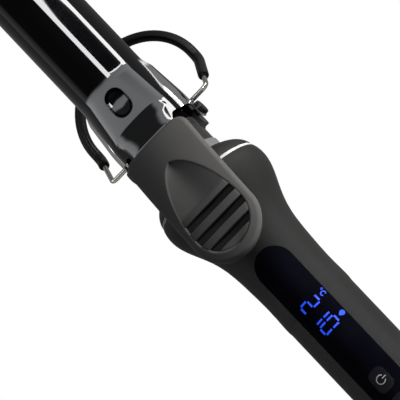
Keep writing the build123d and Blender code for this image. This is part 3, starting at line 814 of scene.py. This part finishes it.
def noise(tree, vector, scale, detail=2.0, roughness=0.5):
    """A noise texture; scale is a number or a socket."""
    node = tree.nodes.new("ShaderNodeTexNoise")
    node.inputs["Detail"].default_value = detail
    node.inputs["Roughness"].default_value = roughness
    tree.links.new(vector, node.inputs["Vector"])
    if isinstance(scale, (int, float)):
        node.inputs["Scale"].default_value = scale
    else:
        tree.links.new(scale, node.inputs["Scale"])
    return node.outputs["Fac"]


def maths(tree, operation, first, second=None, third=None):
    """A Math node's output; each input is a number or a socket."""
    node = tree.nodes.new("ShaderNodeMath")
    node.operation = operation
    for socket, value in zip(node.inputs, (first, second, third)):
        if value is None:
            continue
        if isinstance(value, (int, float)):
            socket.default_value = value
        else:
            tree.links.new(value, socket)
    return node.outputs[0]


def remap(tree, value, low, high, to_low, to_high):
    """A value moved from one range to another and held inside it."""
    node = tree.nodes.new("ShaderNodeMapRange")
    tree.links.new(value, node.inputs["Value"])
    for label, number in zip(("From Min", "From Max", "To Min", "To Max"), (low, high, to_low, to_high)):
        node.inputs[label].default_value = number
    return node.outputs["Result"]


def object_vector(tree, stretch=(1, 1, 1)):
    """Object coordinates along the iron's own axes, in metres, stretched for a directional grain."""
    place, mapping = tree.nodes.new("ShaderNodeTexCoord"), tree.nodes.new("ShaderNodeMapping")
    mapping.inputs["Rotation"].default_value = (0, -IRON.to_euler().y, 0)
    mapping.inputs["Scale"].default_value = stretch
    tree.links.new(place.outputs["Object"], mapping.inputs["Vector"])
    return mapping.outputs["Vector"]


def surface_group():
    """Grain, uneven patches, fine scratches and dust, shared by every finish."""
    tree, given, out = new_group(
        "handled_surface",
        (("Grain Scale", 2500.0), ("Patch Scale", 60.0)),
        ("Grain", "Patches", "Scratches", "Dust"),
    )
    vector = object_vector(tree)
    tree.links.new(noise(tree, vector, given.outputs["Grain Scale"], 3.0, 0.6), out.inputs["Grain"])
    tree.links.new(noise(tree, vector, given.outputs["Patch Scale"], 4.0), out.inputs["Patches"])
    lines = noise(tree, object_vector(tree, (0.25, 6.0, 6.0)), 420.0, 4.0, 0.7)
    tree.links.new(remap(tree, lines, 0.56, 0.74, 0.0, 1.0), out.inputs["Scratches"])
    specks = remap(tree, noise(tree, vector, 1500.0, 1.0), 0.68, 0.76, 0, 1)
    cover = remap(tree, noise(tree, vector, 35.0, 2.0), 0.45, 0.65, 0, 1)
    tree.links.new(maths(tree, "MULTIPLY", specks, cover), out.inputs["Dust"])
    return tree


def brushed_group():
    """Fine lines along the iron or round it, for drawn and turned metal."""
    tree, given, out = new_group("brushed_lines", (("Line Scale", 900.0),), ("Lines", "Tarnish"))
    drawn_out = object_vector(tree, (0.06, 3.0, 3.0))
    tree.links.new(noise(tree, drawn_out, given.outputs["Line Scale"], 3.0, 0.7), out.inputs["Lines"])
    tree.links.new(noise(tree, object_vector(tree), 140.0, 3.0), out.inputs["Tarnish"])
    return tree


def finish(
    slot,
    dark,
    light,
    rough,
    metallic=0.0,
    grain=None,
    scratch=0.0,
    dust=0.0,
    patch=60.0,
    brushed=0.0,
    **fixed,
):
    """A finish between two tones; rough is (low, high), grain is (scale, height in millimetres)."""
    material = FINISHES[slot] = bpy.data.materials.new(f"{slot}_finish")
    material.use_nodes = True
    tree = material.node_tree
    shader = tree.nodes["Principled BSDF"]
    shader.inputs["Metallic"].default_value = metallic
    for label, value in fixed.items():
        shader.inputs[label.replace("_", " ")].default_value = value
    surface = tree.nodes.new("ShaderNodeGroup")
    surface.node_tree = SHARED["surface"]
    surface.inputs["Grain Scale"].default_value = grain[0] if grain else 2500.0
    surface.inputs["Patch Scale"].default_value = patch
    tone = tree.nodes.new("ShaderNodeMix")
    tone.data_type = "RGBA"
    tone.inputs["A"].default_value = (*dark, 1)
    tone.inputs["B"].default_value = (*light, 1)
    shade = remap(tree, surface.outputs["Patches"], 0.3, 0.7, 0.0, 1.0)
    if grain:
        half = maths(tree, "MULTIPLY", shade, 0.5)
        shade = maths(tree, "MULTIPLY_ADD", surface.outputs["Grain"], 0.5, half)
    if dust:
        shade = maths(tree, "MULTIPLY_ADD", surface.outputs["Dust"], dust, shade)
    tree.links.new(shade, tone.inputs["Factor"])
    tree.links.new(tone.outputs["Result"], shader.inputs["Base Color"])
    gloss = remap(tree, surface.outputs["Patches"], 0.25, 0.75, rough[0], rough[1])
    if scratch:
        gloss = maths(tree, "MULTIPLY_ADD", surface.outputs["Scratches"], scratch, gloss)
    height = None
    if brushed:
        lines = tree.nodes.new("ShaderNodeGroup")
        lines.node_tree = SHARED["brushed"]
        gloss = maths(tree, "MULTIPLY_ADD", lines.outputs["Lines"], brushed, gloss)
        gloss = maths(tree, "MULTIPLY_ADD", lines.outputs["Tarnish"], 0.08, gloss)
        height, deep = lines.outputs["Lines"], 0.004
    elif grain:
        height, deep = surface.outputs["Grain"], grain[1]
    tree.links.new(gloss, shader.inputs["Roughness"])
    if height:
        bump = tree.nodes.new("ShaderNodeBump")
        bump.inputs["Strength"].default_value = 1.0
        bump.inputs["Distance"].default_value = deep * MM
        tree.links.new(height, bump.inputs["Height"])
        tree.links.new(bump.outputs["Normal"], shader.inputs["Normal"])


def attribute(tree, name):
    """A number kept on the mesh, as a shader socket."""
    node = tree.nodes.new("ShaderNodeAttribute")
    node.attribute_name = name
    return node.outputs["Fac"]


def recolour(tree, share, tone):
    """Mixes the base colour towards a grey by a share that changes over the surface."""
    base = tree.nodes["Principled BSDF"].inputs["Base Color"]
    mix = tree.nodes.new("ShaderNodeMix")
    mix.data_type = "RGBA"
    mix.inputs["B"].default_value = (tone, tone, tone, 1)
    tree.links.new(base.links[0].from_socket, mix.inputs["A"])
    tree.links.new(share, mix.inputs["Factor"])
    tree.links.new(mix.outputs["Result"], base)


def polish_skirt_paint_rim_shade(material):
    """Below its crease the plate's turned-down edge is bare polished metal; the oval's rim is painted dark, a
    painted shade along its pressed crease.
    """
    tree = material.node_tree
    bare = attribute(tree, "skirt")
    recolour(tree, bare, 0.8)
    # Black with a raised metallic value reflects next to nothing, which darkens the rim as painted shade round the
    # oval
    painted_rim_shade = maths(tree, "MAXIMUM", bare, attribute(tree, "rim"))
    tree.links.new(painted_rim_shade, tree.nodes["Principled BSDF"].inputs["Metallic"])


def paint_groove_shade(material):
    """Painted shade: the lever's grip grooves are darkened in colour where shade falls deep in them."""
    tree = material.node_tree
    recolour(tree, remap(tree, attribute(tree, "groove"), 0.1, 0.5, 0.0, 0.97), 0.002)


def light_up(material, colour, strength):
    """A lit figure: its glow is uneven, as a lamp behind a diffuser is."""
    tree = material.node_tree
    shader = tree.nodes["Principled BSDF"]
    glow = tree.nodes.new("ShaderNodeMix")
    glow.data_type = "RGBA"
    glow.inputs["A"].default_value = (*[c * 0.75 for c in colour], 1)
    glow.inputs["B"].default_value = (*colour, 1)
    tree.links.new(noise(tree, object_vector(tree), 900.0, 1.0), glow.inputs["Factor"])
    tree.links.new(glow.outputs["Result"], shader.inputs["Emission Color"])
    shader.inputs["Emission Strength"].default_value = strength


def grey(value, warm=0.0):
    return (value * (1 + warm), value, value * (1 - warm))


def make_finishes():
    """One finish for each material slot of the part."""
    SHARED.update(surface=surface_group(), brushed=brushed_group())
    plastic = {"grain": (2600.0, 0.005), "dust": 0.3}
    coat_dark, coat_light = (0.0006, 0.0006, 0.0008), (0.0014, 0.0014, 0.0018)
    finish("barrel_coat", coat_dark, coat_light, (0.03, 0.05), scratch=0.04, dust=0.25)
    finish("tip_plastic", grey(0.010), grey(0.018), (0.42, 0.55), **plastic)
    finish("neck_plastic", grey(0.008, 0.02), grey(0.013, 0.02), (0.22, 0.3), **plastic)
    finish("collar_plastic", grey(0.06, 0.01), grey(0.085, 0.01), (0.35, 0.45), **plastic)
    soft_feel = {"Specular_IOR_Level": 0.22, "Sheen_Weight": 0.02, "Sheen_Roughness": 0.4}
    rubber_grain = {"grain": (2300.0, 0.02), "dust": 0.6, "patch": 45.0}
    black, worn_black = grey(0.006, 0.02), grey(0.0105, 0.02)
    finish("soft_black", black, worn_black, (0.5, 0.62), **rubber_grain, **soft_feel)
    finish("nose_black", black, worn_black, (0.45, 0.56), Specular_IOR_Level=0.25, **plastic)
    finish("trim_grey", grey(0.22, 0.01), grey(0.3, 0.01), (0.28, 0.36), grain=(3000.0, 0.004))
    matt = {"grain": (2400.0, 0.016), "dust": 0.4, "Specular_IOR_Level": 0.12}
    finish("lever_black", grey(0.038, 0.02), grey(0.052, 0.02), (0.5, 0.6), **matt)
    smoked = {"scratch": 0.06, "dust": 0.3, "Specular_IOR_Level": 0.1}
    finish("lens", (0.001, 0.001, 0.0022), (0.002, 0.002, 0.004), (0.05, 0.09), **smoked)
    finish("digit_light", (0.01, 0.02, 0.2), (0.02, 0.04, 0.3), (0.3, 0.4))
    finish("button_gloss", (0.002, 0.002, 0.004), (0.004, 0.004, 0.006), (0.12, 0.2), scratch=0.1, dust=0.3)
    finish("bracket_black", grey(0.004), grey(0.008), (0.28, 0.4), grain=(1800.0, 0.01))
    finish("screw_black", grey(0.006), grey(0.012), (0.25, 0.36), 0.4, scratch=0.2)
    finish("screw_steel", grey(0.35), grey(0.5), (0.22, 0.32), 1.0, brushed=0.15)
    finish("spring_steel", grey(0.3), grey(0.45), (0.26, 0.36), 1.0, brushed=0.15)
    finish("wire_chrome", (0.62, 0.58, 0.52), (0.72, 0.69, 0.64), (0.1, 0.18), 1.0)
    finish("sleeve_black", grey(0.003), grey(0.006), (0.3, 0.38), dust=0.3, Specular_IOR_Level=0.1)
    finish("aluminium", grey(0.55), grey(0.65), (0.3, 0.42), 1.0, brushed=0.2)
    finish("ceramic", (0.7, 0.68, 0.63), (0.8, 0.79, 0.75), (0.5, 0.62), grain=(1500.0, 0.006))
    finish("sensor_glass", (0.02, 0.02, 0.02), (0.35, 0.2, 0.1), (0.1, 0.2))
    finish("fuse_metal", grey(0.5, 0.03), grey(0.62, 0.03), (0.3, 0.4), 1.0, brushed=0.1)
    finish("lead_white", grey(0.6), grey(0.7), (0.5, 0.6), grain=(1600.0, 0.008))
    finish("lead_black", grey(0.012), grey(0.02), (0.45, 0.55), grain=(1600.0, 0.006))
    finish("mica", (0.35, 0.28, 0.18), (0.5, 0.42, 0.3), (0.3, 0.5), grain=(700.0, 0.01))
    finish("board_green", (0.01, 0.07, 0.03), (0.02, 0.11, 0.05), (0.3, 0.42), grain=(900.0, 0.006))
    finish("chip_black", grey(0.012), grey(0.02), (0.5, 0.6), grain=(2800.0, 0.006))
    finish("capacitor_sleeve", (0.01, 0.015, 0.05), (0.02, 0.025, 0.08), (0.25, 0.35))
    finish("terminal_white", grey(0.6), grey(0.7), (0.4, 0.5), grain=(2000.0, 0.006))
    finish("socket_plastic", grey(0.05), grey(0.08), (0.4, 0.5), **plastic)
    finish("gland_black", grey(0.009), grey(0.018), (0.42, 0.55), **plastic)
    finish("contact_brass", (0.6, 0.42, 0.15), (0.75, 0.55, 0.25), (0.2, 0.35), 1.0, brushed=0.1)
    polish_skirt_paint_rim_shade(FINISHES["barrel_coat"])
    paint_groove_shade(FINISHES["lever_black"])
    light_up(FINISHES["digit_light"], (0.0, 0.06, 0.85), 1.0)


class IRON_OT_finishes(bpy.types.Operator):
    """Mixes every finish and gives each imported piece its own"""

    bl_idname = "iron.finishes"
    bl_label = "Finishes"

    def execute(self, context):
        make_finishes()
        for entry in frame["record"]["subparts"]:
            node = frame["nodes"][entry["node"]]
            node.data.materials.clear()
            node.data.materials.append(FINISHES[entry["material_slot"]])
        return {"FINISHED"}


# ---------------------------------------------------------------- studio


def view_axes(settings):
    """Camera right, up and back vectors in the frame."""
    roll, tilt, turn = settings.view_roll, settings.view_tilt, settings.view_turn
    tail, right, up = Vector((-1, 0, 0)), Vector((0, -1, 0)), Vector((0, 0, 1))
    lean = cos(roll) * up + sin(roll) * right
    along = cos(tilt) * tail - sin(tilt) * lean
    across = cos(roll) * right - sin(roll) * up
    back = sin(tilt) * tail + cos(tilt) * lean
    cam_x = cos(turn) * along + sin(turn) * across
    cam_y = -sin(turn) * along + cos(turn) * across
    aim = along * settings.aim_along + across * settings.aim_across
    spin = IRON.to_3x3() * (1 / MM)
    return spin @ cam_x, spin @ cam_y, spin @ back, IRON @ aim


def build_camera(settings):
    """A long lens from far away, so that the view hardly narrows with depth."""
    cam_x, cam_y, back, aim = view_axes(settings)
    data = bpy.data.cameras.new("camera")
    data.sensor_width = 36.0
    data.lens = data.sensor_width * settings.distance / settings.view_width
    camera = bpy.data.objects.new("camera", data)
    turn = Matrix((cam_x, cam_y, back)).transposed().to_4x4()
    camera.matrix_world = Matrix.Translation(aim + back * settings.distance) @ turn
    bpy.context.scene.collection.objects.link(camera)
    bpy.context.scene.camera = camera


def seen_white(nodes, links, kind, lit, out):
    """The camera sees plain white; light and reflections see the lit shader."""
    seen = nodes.new(kind)
    seen.inputs["Color"].default_value = (1, 1, 1, 1)
    path, mix = nodes.new("ShaderNodeLightPath"), nodes.new("ShaderNodeMixShader")
    links.new(path.outputs["Is Camera Ray"], mix.inputs["Fac"])
    links.new(lit.outputs[0], mix.inputs[1])
    links.new(seen.outputs[0], mix.inputs[2])
    links.new(mix.outputs[0], out.inputs["Surface"])


def build_world():
    """A dim studio with a pale far wall beyond the tip; the camera sees white."""
    world = bpy.data.worlds.new("studio")
    bpy.context.scene.world = world
    world.use_nodes = True
    tree = world.node_tree
    nodes, links = tree.nodes, tree.links
    nodes.clear()
    way = nodes.new("ShaderNodeTexCoord").outputs["Generated"]
    ahead = IRON.to_3x3().col[0].normalized()
    dot = nodes.new("ShaderNodeVectorMath")
    dot.operation = "DOT_PRODUCT"
    links.new(way, dot.inputs[0])
    dot.inputs[1].default_value = ahead
    ramp = nodes.new("ShaderNodeValToRGB")
    links.new(remap(tree, dot.outputs["Value"], -1, 1, 0, 1), ramp.inputs["Fac"])
    ramp.color_ramp.interpolation = "EASE"
    behind_and_beside = ((0.0, 0.3), (0.3, 0.25), (0.45, 0.08), (0.6, 0.035), (0.69, 0.04))
    pale_wall = ((0.72, 2.8), (0.765, 3.0), (0.81, 0.2))
    for index, (place, value) in enumerate(behind_and_beside + pale_wall):
        stop = ramp.color_ramp.elements[index] if index < 2 else ramp.color_ramp.elements.new(place)
        stop.position = place
        stop.color = (value * 0.95, value * 0.98, value, 1)
    mirrored = nodes.new("ShaderNodeBackground")
    links.new(ramp.outputs["Color"], mirrored.inputs["Color"])
    # A faint glow round the horizon shapes the gloss where the iron is seen from the side
    height = nodes.new("ShaderNodeSeparateXYZ")
    links.new(way, height.inputs[0])
    squared = maths(tree, "MULTIPLY", height.outputs["Z"], height.outputs["Z"])
    glow, both = nodes.new("ShaderNodeBackground"), nodes.new("ShaderNodeAddShader")
    links.new(remap(tree, squared, 0, 0.16, 0.6, 0), glow.inputs["Strength"])
    links.new(mirrored.outputs[0], both.inputs[0])
    links.new(glow.outputs[0], both.inputs[1])
    # Matt surfaces get a low even light instead
    soft = nodes.new("ShaderNodeBackground")
    soft.inputs["Color"].default_value = (0.12, 0.12, 0.125, 1)
    path, dim = nodes.new("ShaderNodeLightPath"), nodes.new("ShaderNodeMixShader")
    links.new(path.outputs["Is Diffuse Ray"], dim.inputs["Fac"])
    links.new(both.outputs[0], dim.inputs[1])
    links.new(soft.outputs[0], dim.inputs[2])
    seen_white(nodes, links, "ShaderNodeBackground", dim, nodes.new("ShaderNodeOutputWorld"))


def build_floor():
    """A wide pale floor under the iron, three metres to each side."""
    half = 3.0
    corners = [(-half, -half, 0), (half, -half, 0), (half, half, 0), (-half, half, 0)]
    material = bpy.data.materials.new("floor_white")
    material.use_nodes = True
    nodes, links = material.node_tree.nodes, material.node_tree.links
    nodes.clear()
    lit = nodes.new("ShaderNodeEmission")
    lit.inputs["Strength"].default_value = 0.2
    seen_white(nodes, links, "ShaderNodeEmission", lit, nodes.new("ShaderNodeOutputMaterial"))
    add_mesh("floor", corners, [(0, 1, 2, 3)], material, smooth=False)


def area_light(name, centre, target, width, height, radiance, colour=(1, 1, 1), reflected=True):
    """A soft box in the iron's own millimetres, facing its target; width runs along X.

    A reflected one is seen only in the gloss, and any other one only lights the matt surfaces.
    """
    data = bpy.data.lights.new(name, "AREA")
    data.shape = "RECTANGLE"
    data.size, data.size_y = width * MM, height * MM
    data.energy = radiance * pi * width * height * MM * MM
    data.color = colour
    light = bpy.data.objects.new(name, data)
    start, end = at(*centre), at(*target)
    back = (start - end).normalized()
    along = IRON.to_3x3().col[0].normalized()
    along = (along - along.dot(back) * back).normalized()
    turn = Matrix((along, back.cross(along), back)).transposed().to_4x4()
    light.matrix_world = Matrix.Translation(start) @ turn
    light.visible_camera = False
    light.visible_glossy = reflected
    light.visible_diffuse = not reflected
    bpy.context.scene.collection.objects.link(light)


def around(degrees, far, x):
    """A point at a distance from the barrel's axis, turned from +Z towards -Y."""
    return (x, -far * sin(radians(degrees)), far * cos(radians(degrees)))


class IRON_OT_stage(bpy.types.Operator):
    """Places the camera, the strip lights, the soft boxes and the white floor"""

    bl_idname = "iron.stage"
    bl_label = "Studio"

    def execute(self, context):
        settings = context.scene.iron_stage
        build_camera(settings)
        build_world()
        build_floor()
        strips = (
            ("overhead_strip", 21, 228, 144, 130),
            ("side_strip", 82, 228, 144, 130),
            ("end_strip", 52, 292, 26, 560),
        )
        for name, degrees, x, width, height in strips:
            centre, target = around(degrees, 600, x), around(degrees, 0, x)
            area_light(name, centre, target, width, height, settings.strip_glow)
        warm = (1, 0.99, 0.98)
        area_light("key_box", around(78, 700, -60), (-60, 0, 20), 400, 200, 75.0, warm, reflected=False)
        area_light("fill_box", around(-100, 700, 0), (0, 0, 0), 500, 300, 4.0, reflected=False)
        context.scene.view_settings.view_transform = "Standard"
        return {"FINISHED"}


# ---------------------------------------------------------------- add-on


class IRON_PT_panel(bpy.types.Panel):
    bl_label = "Curling Iron"
    bl_idname = "IRON_PT_panel"
    bl_space_type = "VIEW_3D"
    bl_region_type = "UI"
    bl_category = "Curling Iron"

    def draw(self, context):
        for operator in OPERATORS:
            self.layout.operator(operator.bl_idname)


SETTINGS = {
    "iron_stage": StageSettings,
    "iron_clamp": ClampSettings,
    "iron_lever": LeverSettings,
    "iron_stand": StandSettings,
    "iron_marks": MarkSettings,
}
OPERATORS = (
    IRON_OT_stage,
    IRON_OT_finishes,
    IRON_OT_clamp_plate,
    IRON_OT_thumb_lever,
    IRON_OT_clamp_spring,
    IRON_OT_stand,
    IRON_OT_marks,
)
CLASSES = (*SETTINGS.values(), *OPERATORS, IRON_PT_panel)


def register():
    for each in CLASSES:
        bpy.utils.register_class(each)
    for name, group in SETTINGS.items():
        setattr(bpy.types.Scene, name, PointerProperty(type=group))


def unregister():
    for name in SETTINGS:
        delattr(bpy.types.Scene, name)
    for each in reversed(CLASSES):
        bpy.utils.unregister_class(each)


def main():
    register()
    for operator in OPERATORS:
        family, action = operator.bl_idname.split(".")
        getattr(getattr(bpy.ops, family), action)()


if __name__ == "__main__":
    main()
